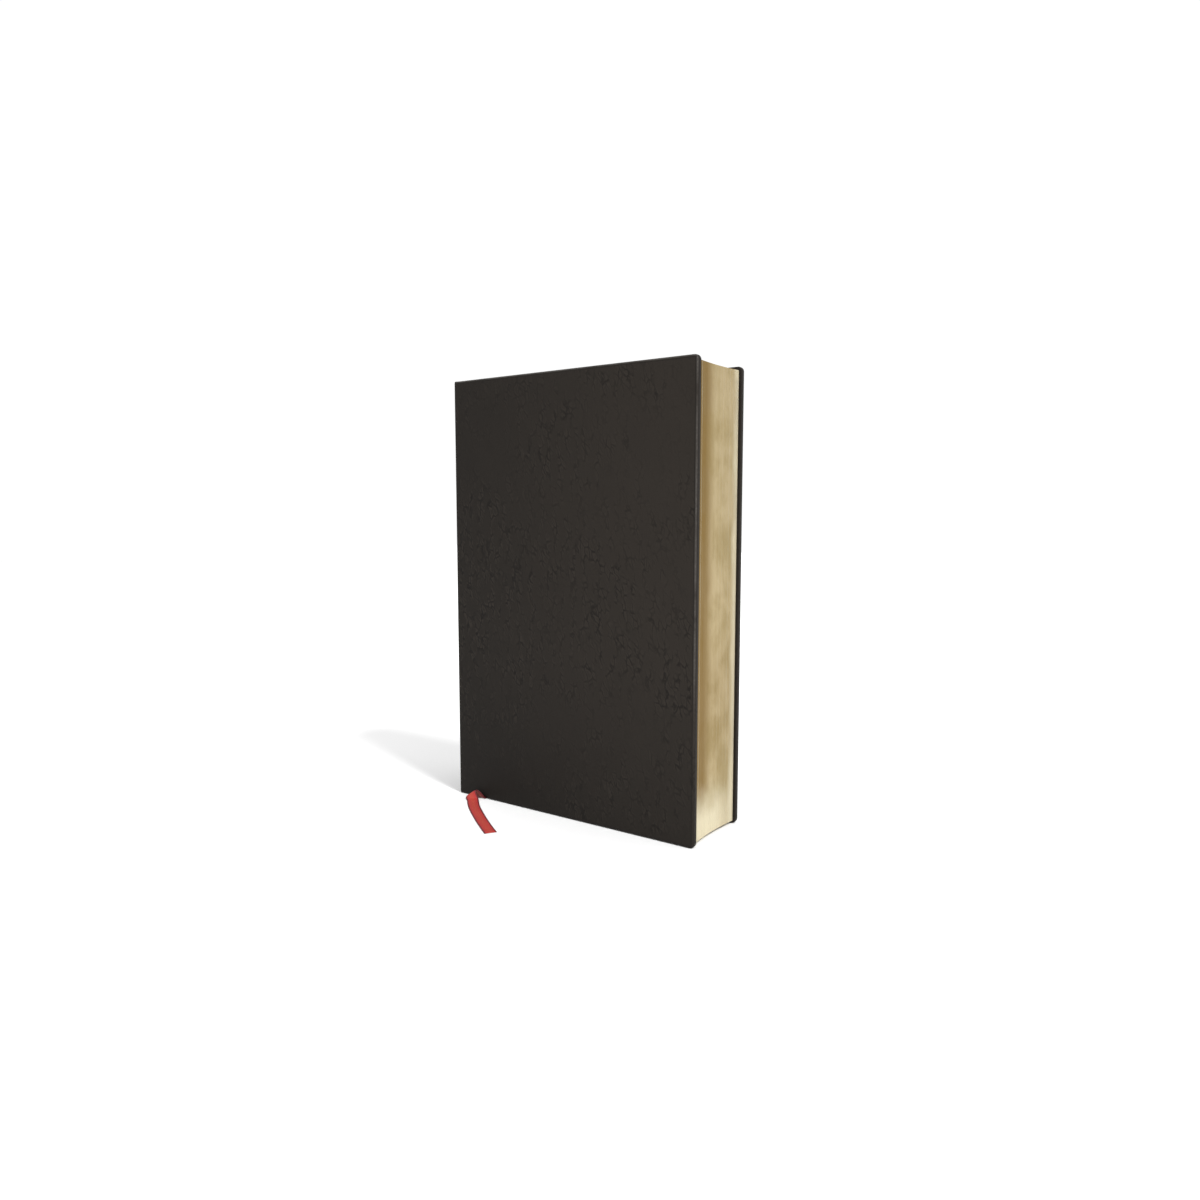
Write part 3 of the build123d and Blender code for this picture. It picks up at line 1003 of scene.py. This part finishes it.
class BOOK_OT_linings(bpy.types.Operator):
    """Build the inlay, paper lining and mull on the back, and finish the boards and thread"""

    bl_idname = "book.linings"
    bl_label = "Linings and Boards"

    def execute(self, context):
        trim = context.scene.book_trim
        kraft = paper_finish("lining_paper", Finish.place, trim.kraft, 0.8 * MM)
        layers = (
            ("spine_inlay", INLAY_DEPTHS, 13 * MM, kraft, "kraft_paper"),
            ("kraft_lining", KRAFT_DEPTHS, 4 * MM, kraft, "kraft_paper"),
            ("mull", MULL_DEPTHS, 20 * MM, gauze_finish(), "gauze"),
        )
        for name, depths, inset, finish, slot in layers:
            points, faces = back_sheet(depths, BLOCK_Y, inset, HEIGHT - inset, SHEET_ROWS)
            piece = new_piece(name + "_sheet", points, faces, finish, smooth=False)
            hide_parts(name + "_front", name + "_rear")
            fold_at_middle(piece)
        board, thread = board_finish(), thread_finish()
        for node in ("front_board", "rear_board", "front_infill_card", "rear_infill_card"):
            wear(frame["nodes"][node], board)
        for node in ("sewing_thread_front", "sewing_thread_rear"):
            wear(frame["nodes"][node], thread)
        return {"FINISHED"}


def wear(node, finish):
    """Gives a node of the frame its finish."""
    if not node.data.materials:
        node.data.materials.append(finish)
    for slot in node.material_slots:
        slot.material = finish


# ======== text block
GATHERINGS = 12
MAP_LEAVES = 4
STATIONS = 9  # rings along a leaf, between its first and its last
FOLD_TAPER = 0.12 * MM  # the length over which a leaf thickens from its fold
UNEVEN = 0.03 * MM  # how far the leaves' trimmed edges differ
MIDDLE_SHARE = 0.955  # the least turned leaf of the gathering before the middle, as a share


def leaf_bodies(spans, seed):
    """Thin leaves side by side, each a bar with trimmed, slightly rounded edges.
    Rings of eight points stand at stations from the fold to the fore-edge; the first and last
    ring are smaller. The fore-edge follows its hollow and the fold the spine. Returns the points,
    the faces, and how far each face is gilded."""
    settings = bpy.context.scene.book_paper
    chamfer = settings.chamfer
    random = np.random.default_rng(seed)
    count = len(spans)
    low_y, high_y = spans[:, 0], spans[:, 1]
    middle = (low_y + high_y) / 2
    fore = FORE_CENTRE_X - np.sqrt(FORE_R**2 - middle**2)
    fold = back_arc(BLOCK_DEPTH, middle)
    fore = fore - random.uniform(0.0, UNEVEN, count)
    tail = BLOCK_TAIL + random.uniform(0.0, UNEVEN, count)
    head = BLOCK_HEAD - random.uniform(0.0, UNEVEN, count)
    stations = np.linspace(0.0, 1.0, STATIONS)[None, :]
    inner = fold + FOLD_TAPER
    inner_x = inner[:, None] + stations * (fore - chamfer - fold - FOLD_TAPER)[:, None]
    ring_x = np.concatenate([fold[:, None], inner_x, fore[:, None]], axis=1)
    slim = np.zeros(ring_x.shape)
    slim[:, 0] = 0.4
    slim[:, -1] = 1.0
    shrink = slim * chamfer
    shrink[:, 0] += (high_y - low_y) * 0.28
    y0, y1 = low_y[:, None] + shrink, high_y[:, None] - shrink
    z0, z1 = tail[:, None] + slim * chamfer, head[:, None] - slim * chamfer
    c = chamfer
    corners_y = np.stack([y0, y0, y0 + c, y1 - c, y1, y1, y1 - c, y0 + c], axis=-1)
    corners_z = np.stack([z0 + c, z1 - c, z1, z1, z1 - c, z0 + c, z0, z0], axis=-1)
    points = grid_of(ring_x[..., None], corners_y, corners_z)
    rings = ring_x.shape[1]
    index = np.arange(count * rings * 8).reshape(count, rings, 8)
    around = np.roll(index, -1, axis=2)
    sides = np.stack([index[:, :-1], around[:, :-1], around[:, 1:], index[:, 1:]], axis=-1)
    side_gilt = np.ones((count, rings - 1, 8))
    side_gilt[:, :, [0, 4]] = 0.0  # the two faces of the paper
    side_gilt[:, 0] = 0.0
    side_gilt[:, -1] = 1.0
    caps = [
        np.stack([end[:, 0], end[:, a], end[:, a + 1], end[:, a + 2]], axis=-1)
        for end in (index[:, 0, ::-1], index[:, -1])
        for a in (1, 3, 5)
    ]
    faces = np.concatenate([sides.reshape(-1, 4), *caps])[:, ::-1]
    cap_gilt = np.repeat([0.0, 1.0], 3 * count)
    return points.reshape(-1, 3), faces, np.concatenate([side_gilt.ravel(), cap_gilt])


def split_span(low, high, parts, gap=0.004 * MM):
    """Equal spans with a hair's gap between them."""
    edges = np.linspace(low, high, parts + 1)
    return np.stack([edges[:-1] + gap, edges[1:] - gap], axis=-1)


def leaf_block(name, low, high, parts, seed):
    """A group of leaves as one piece."""
    points, faces, gilt = leaf_bodies(split_span(low, high, parts), seed)
    finish = once("gilt_leaves", leaf_finish)
    return new_piece(name, points, faces, finish, smooth=False, face_shares={"gilt": gilt})


def smooth_share(wanted):
    """The t at which smooth step gives the wanted share: half less the sine of a third."""
    return 0.5 - math.sin(math.asin(1.0 - 2.0 * wanted) / 3.0)


class BOOK_OT_text_block(bpy.types.Operator):
    """Build the gathered leaves, gilded on three edges"""

    bl_idname = "book.text_block"
    bl_label = "Text Block"

    def execute(self, context):
        leaves = context.scene.book_paper.leaves
        couplings = {c["joint"]: c["ratio"] for c in frame["record"]["behaviour"]["couplings"]}
        ratio = {1: 1.0, GATHERINGS: 0.0}
        for number in range(2, GATHERINGS):
            ratio[number] = couplings[f"leaves_{number:02d}_turn"]
        for number in range(1, GATHERINGS + 1):
            node = f"gathering_{number:02d}"
            low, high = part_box(node)
            top = inner_low.y - RIBBON_CLEARANCE if number == 1 else high.y
            piece = leaf_block(f"leaves_of_{node}", low.y, top, leaves, LEAF_SEED + number)
            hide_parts(node)
            self.fan(piece, number, ratio, low.y, high.y)
        piece = leaf_block("leaves_of_map_leaves", map_low.y, map_high.y, MAP_LEAVES, MAP_SEED)
        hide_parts("map_leaves")
        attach(piece, "root")
        return {"FINISHED"}

    def fan(self, piece, number, ratio, low_y, high_y):
        """Attaches the last gathering to the root. For the others it works out the share that its
        rear
        neighbour turns and the span of a smooth step from it, and only bakes the piece's transform:
        the leaves are not spread."""
        if number == GATHERINGS:
            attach(piece, "root")
            return
        least = ratio[number + 1] / ratio[number]
        if number == GATHERINGS // 2:
            least = MIDDLE_SHARE
        span = (high_y - low_y) / (1.0 - smooth_share(least))
        body = "front_half" if number == 1 else f"leaves_{number:02d}"
        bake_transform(piece)


# ======== endpapers
FOLD_COLUMNS = 33
FOLD_ROWS = 12
FOLD_PAPER = 0.012 * MM


def endpaper_fold(name, side):
    """The strip of endpaper that joins the pastedown to the flyleaf: a path in plan that runs
    along the board towards the spine, turns, and comes back on the leaf, while it drifts
    evenly from the one to the other."""
    settings = bpy.context.scene.book_paper
    t = np.linspace(0.0, 1.0, FOLD_COLUMNS)
    bend = 1.0 - np.abs(2.0 * t - 1.0) ** 1.6
    start_x = paste_low.x + 0.9 * MM
    deepest = COVER_X - 1.4 * MM
    x = start_x + (deepest - start_x) * bend
    y = FOLD_FROM + (FOLD_TO - FOLD_FROM) * t
    grid = grid_of(x, y, np.linspace(paste_low.z, paste_high.z, FOLD_ROWS)[:, None])
    if side > 0:
        grid = (grid * [1.0, -1.0, 1.0])[:, ::-1]
    finish = once("endpaper_fold", paper_finish, "endpaper_fold", Finish.place, settings.endpaper)
    piece = new_piece(name, grid, quads_of(*grid.shape[:2]), finish)
    thicken(piece, FOLD_PAPER)
    return piece


class BOOK_OT_endpapers(bpy.types.Operator):
    """Build the folds between pastedowns and flyleaves, and finish both"""

    bl_idname = "book.endpapers"
    bl_label = "Endpapers"

    def execute(self, context):
        endpaper = context.scene.book_paper.endpaper
        finish = paper_finish("heavy_endpaper", Finish.objects_own, endpaper)
        gilded = flyleaf_finish()
        for side in ("front", "rear"):
            wear(frame["nodes"][side + "_pastedown"], finish)
            wear(frame["nodes"][side + "_flyleaf"], gilded)
        for name, side, body, cover in (
            ("front_endpaper_fold", -1, "front_half", "front_cover"),
            ("rear_endpaper_fold", 1, "root", "rear_cover"),
        ):
            piece = endpaper_fold(name, side)
            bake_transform(piece)
        return {"FINISHED"}


# ======== head and tail bands
WRAP = 0.42 * MM  # from one turn of thread to the next
STEPS_A_WRAP = 7
TUBE_SIDES = 18
TAPE_ROWS = 5
TAPE_LENGTH = 15 * MM
BAND_LIFT = 0.15 * MM  # clear of the leaves
FIRST_WRAP = 600.0  # keeps the count of wraps above nought


def band(name, bead, centre_z, tape_low, tape_high, finish):
    """A core wound with silk: a tube along the spine's curve whose radius swells once for each
    wrap of thread, with the wraps leaning a little, and a tape down the back behind it."""
    half = BLOCK_Y - 0.3 * MM
    y = np.linspace(-half, half, int(2 * half / WRAP * STEPS_A_WRAP))
    around = np.linspace(0.0, TURN, TUBE_SIDES + 1)[:-1, None]
    count = y / WRAP + around / TURN
    swell = np.abs(np.cos(math.pi * count)) ** 0.5
    closing = np.sqrt(np.clip((half - np.abs(y)) / (0.6 * MM), 0.0, 1.0))
    radius = bead * (0.90 + 0.10 * swell) * closing
    x = back_arc(BLOCK_DEPTH + bead, y) + radius * np.cos(around)
    tube = grid_of(x, y, centre_z + radius * np.sin(around))
    index = np.arange(count.size).reshape(count.shape)
    index = np.concatenate([index, index[:1]])
    faces = np.concatenate([strip_of(a, b) for a, b in zip(index, index[1:])])
    tape_points, tape_faces = back_sheet(MULL_DEPTHS, half, tape_low, tape_high, TAPE_ROWS)
    points = np.concatenate([tube.reshape(-1, 3), tape_points])
    faces = np.concatenate([faces, tape_faces + count.size])
    wraps = np.concatenate([count.ravel(), tape_points[:, 1] / WRAP]) + FIRST_WRAP
    piece = new_piece(name, points, faces, finish, {"wrap": wraps})
    merge(piece)
    return piece


class BOOK_OT_bands(bpy.types.Operator):
    """Build the worked silk bands at head and tail"""

    bl_idname = "book.bands"
    bl_label = "Head and Tail Bands"

    def execute(self, context):
        finish = silk_finish()
        for name, bead, end, out in (
            ("headband", 0.85 * MM, BLOCK_HEAD, 1),
            ("tailband", 0.65 * MM, BLOCK_TAIL, -1),
        ):
            centre = end + out * (bead + BAND_LIFT)
            low, high = sorted((end - out * TAPE_LENGTH, centre))
            piece = band(name + "_silk", bead, centre, low, high, finish)
            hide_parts(name + "_front", name + "_rear")
            fold_at_middle(piece)
        return {"FINISHED"}


# ======== ribbon
# Millimetres: where the ribbon goes, under the cover, up to a fold, and out along the ground.
# Beside each place is the way that the ribbon's width points there.
RIBBON_TABLE = [
    ((-61.2, -16.66, 1.70), (1.0, 0.0, 0.0)),
    ((-61.2, -17.6, 0.55), (1.0, 0.0, 0.0)),
    ((-61.0, -19.5, 0.24), (1.0, 0.0, 0.0)),
    ((-60.3, -22.4, 0.22), (1.0, 0.0, 0.0)),
    ((-59.6, -24.6, 0.24), (1.0, 0.0, 0.0)),
    ((-60.75, -25.7, 1.10), (0.95, 0.18, 0.24)),
    ((-62.7, -26.95, 2.85), (0.76, 0.35, 0.55)),
    ((-64.35, -28.2, 3.35), (0.72, 0.39, 0.58)),
    ((-63.0, -29.3, 1.80), (0.74, 0.52, 0.43)),
    ((-61.25, -29.85, 0.28), (0.61, 0.79, 0.03)),
    ((-56.5, -34.6, 0.16), (0.67, 0.74, 0.0)),
    ((-50.4, -40.0, 0.16), (0.66, 0.75, 0.0)),
    ((-37.2, -49.9, 0.16), (0.60, 0.80, 0.0)),
    ((-25.1, -58.4, 0.16), (0.58, 0.81, 0.0)),
    ((-17.1, -63.6, 0.16), (0.55, 0.84, 0.0)),
]
RIBBON_ROUTE = [place for place, _ in RIBBON_TABLE]
RIBBON_WAYS = [way for _, way in RIBBON_TABLE]
RIBBON_COLUMNS = 13
CROWN = 0.10 * MM  # how far the middle of its width stands up
GROUND = 0.01 * MM


def spline_points(route, name):
    """Points along a smooth NURBS line that has the route's points as its control points."""
    curve = bpy.data.curves.new(name, "CURVE")
    curve.dimensions = "3D"
    curve.resolution_u = 12
    spline = curve.splines.new("NURBS")
    spline.points.add(len(route) - 1)
    flat = [value for point in route for value in (*[c * MM for c in point], 1.0)]
    spline.points.foreach_set("co", flat)
    spline.order_u = 3
    spline.use_endpoint_u = True
    holder = bpy.data.objects.new(name, curve)
    mesh = bpy.data.meshes.new_from_object(holder)
    line = np.zeros(len(mesh.vertices) * 3)
    mesh.vertices.foreach_get("co", line)
    bpy.data.objects.remove(holder)
    bpy.data.curves.remove(curve)
    bpy.data.meshes.remove(mesh)
    return line.reshape(-1, 3)


def unit(vectors):
    """Vectors of length 1."""
    return vectors / np.linalg.norm(vectors, axis=-1, keepdims=True)


def ribbon_strip(name, line, finish):
    """A satin strip: the line, widened to both sides along a direction that turns with it. The
    direction follows a spline of its own with the same knots. The strip is slightly crowned,
    thinner at its woven edges, and never below the ground."""
    settings = bpy.context.scene.book_trim
    steps = np.linalg.norm(np.diff(line, axis=0), axis=1)
    far = np.concatenate([[0.0], np.cumsum(steps)])
    ahead = unit(np.gradient(line, axis=0))
    side = unit(spline_points(RIBBON_WAYS, "ribbon_ways"))
    down = unit(np.cross(side, ahead))
    across = np.linspace(-0.5, 0.5, RIBBON_COLUMNS)
    half_t = settings.ribbon_thickness / 2
    crown = CROWN * (1.0 - (2.0 * across) ** 2)
    wide = line[:, None] + side[:, None] * across[None, :, None] * settings.ribbon_width
    wide = wide - down[:, None] * crown[None, :, None]
    edge = np.sqrt(np.clip(1.0 - np.abs(2.0 * across) ** 14, 0.12, 1.0))[None, :, None]
    half = down[:, None] * half_t * edge
    points, faces = closed_slab(wide + half, wide - half)
    points[:, 2] = np.maximum(points[:, 2], GROUND)
    # under marks the strip's lower face, which the satin finish darkens with painted shade
    under = np.zeros(len(faces))
    under[: (len(line) - 1) * (len(across) - 1)] = 1.0
    piece = new_piece(name, points, faces, finish, face_shares={"under": under})
    uv = grid_of(across + 0.5, far[:, None]).reshape(-1, 2)
    corner = np.zeros(len(piece.data.loops), int)
    piece.data.loops.foreach_get("vertex_index", corner)
    layer = piece.data.uv_layers.new(name="ribbon")
    layer.data.foreach_set("uv", np.concatenate([uv, uv])[corner].ravel())
    return piece


class BOOK_OT_ribbon(bpy.types.Operator):
    """Build the ribbon's loose end, and finish the length that lies in the book"""

    bl_idname = "book.ribbon"
    bl_label = "Ribbon Marker"

    def execute(self, context):
        wear(frame["nodes"]["ribbon_inner"], satin_finish("satin_inside", False))
        line = spline_points(RIBBON_ROUTE, "ribbon_line")
        piece = ribbon_strip("ribbon_end", line, satin_finish("satin_end", True))
        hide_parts("ribbon_tail")
        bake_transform(piece)
        return {"FINISHED"}


# ======== stage
FRONT_WAY = (-0.35, -0.90, -0.25)  # where the surround is dimmest
KEY_PLACE = (0.60, -0.16, 0.80)
WHITE = (1.0, 1.0, 1.0, 1.0)


def surround(settings):
    """A white surround that is a little dimmer on the side that the front cover faces."""
    f = Finish("surround", "worlds")
    way = f.node("ShaderNodeTexCoord").outputs["Generated"]
    front = f.node("ShaderNodeVectorMath", dict(operation="DOT_PRODUCT"), {0: way, 1: FRONT_WAY})
    share = Amount(f, front.outputs["Value"]).rise(-0.15, 0.95)
    strength = settings.sky_strength - share * (settings.sky_strength - settings.front_strength)
    backdrop = f.node("ShaderNodeBackground", None, {0: WHITE, 1: strength})
    f.node("ShaderNodeOutputWorld", None, {0: backdrop.outputs[0]})
    return f.material


def key_light(settings):
    """A wide soft light from the right and above."""
    data = bpy.data.lights.new("key_light", "SUN")
    data.energy = settings.key_strength
    data.angle = settings.key_softness
    light = bpy.data.objects.new("key_light", data)
    bpy.context.scene.collection.objects.link(light)
    light.location = KEY_PLACE
    light.rotation_euler = Vector(KEY_PLACE).to_track_quat("Z", "Y").to_euler()


class BOOK_OT_stage(bpy.types.Operator):
    """Build the floor, the lights and the camera"""

    bl_idname = "book.stage"
    bl_label = "Stage"

    def execute(self, context):
        settings = context.scene.book_stage
        half = settings.floor_size / 2
        ends = np.array([-half, half])
        corners = grid_of(ends, ends[:, None], 0.0)
        floor = new_piece("floor", corners, quads_of(2, 2), floor_finish(), smooth=False)
        context.scene.world = surround(settings)
        key_light(settings)
        context.scene.view_settings.view_transform = "Standard"
        data = bpy.data.cameras.new("camera")
        data.lens = settings.lens
        camera = bpy.data.objects.new("camera", data)
        context.scene.collection.objects.link(camera)
        camera.location = settings.camera_place
        camera.rotation_euler = (math.pi / 2 - settings.camera_pitch, 0.0, settings.camera_turn)
        context.scene.camera = camera
        return {"FINISHED"}


# ======== the add-on
class BOOK_PT_panel(bpy.types.Panel):
    """The book's settings and builders"""

    bl_label = "Leather Bound Book"
    bl_idname = "BOOK_PT_panel"
    bl_space_type = "VIEW_3D"
    bl_region_type = "UI"
    bl_category = "Book"

    def draw(self, context):
        for group, builders in (
            (context.scene.book_leather, LEATHER_BUILDERS),
            (context.scene.book_paper, PAPER_BUILDERS),
            (context.scene.book_trim, TRIM_BUILDERS),
            (context.scene.book_stage, STAGE_BUILDERS),
        ):
            box = self.layout.box()
            for key in group.__annotations__:
                box.prop(group, key)
            for builder in builders:
                box.operator(builder.bl_idname)


LEATHER_BUILDERS = (BOOK_OT_front_cover, BOOK_OT_rear_cover, BOOK_OT_spine)
PAPER_BUILDERS = (BOOK_OT_text_block, BOOK_OT_endpapers)
TRIM_BUILDERS = (BOOK_OT_linings, BOOK_OT_bands, BOOK_OT_ribbon)
STAGE_BUILDERS = (BOOK_OT_stage,)
BUILDERS = LEATHER_BUILDERS + PAPER_BUILDERS + TRIM_BUILDERS + STAGE_BUILDERS
SETTINGS = {
    "book_leather": BookLeatherSettings,
    "book_paper": BookPaperSettings,
    "book_trim": BookTrimSettings,
    "book_stage": BookStageSettings,
}


def register():
    """Adds the settings, the builders and the panel."""
    for name, group in SETTINGS.items():
        bpy.utils.register_class(group)
        setattr(bpy.types.Scene, name, PointerProperty(type=group))
    for builder in (*BUILDERS, BOOK_PT_panel):
        bpy.utils.register_class(builder)


def unregister():
    """Takes them away again."""
    for builder in reversed((*BUILDERS, BOOK_PT_panel)):
        bpy.utils.unregister_class(builder)
    for name, group in SETTINGS.items():
        delattr(bpy.types.Scene, name)
        bpy.utils.unregister_class(group)


def main():
    """Builds every piece through its operator."""
    register()
    for builder in BUILDERS:
        group, action = builder.bl_idname.split(".")
        getattr(getattr(bpy.ops, group), action)()


if __name__ == "__main__":
    main()
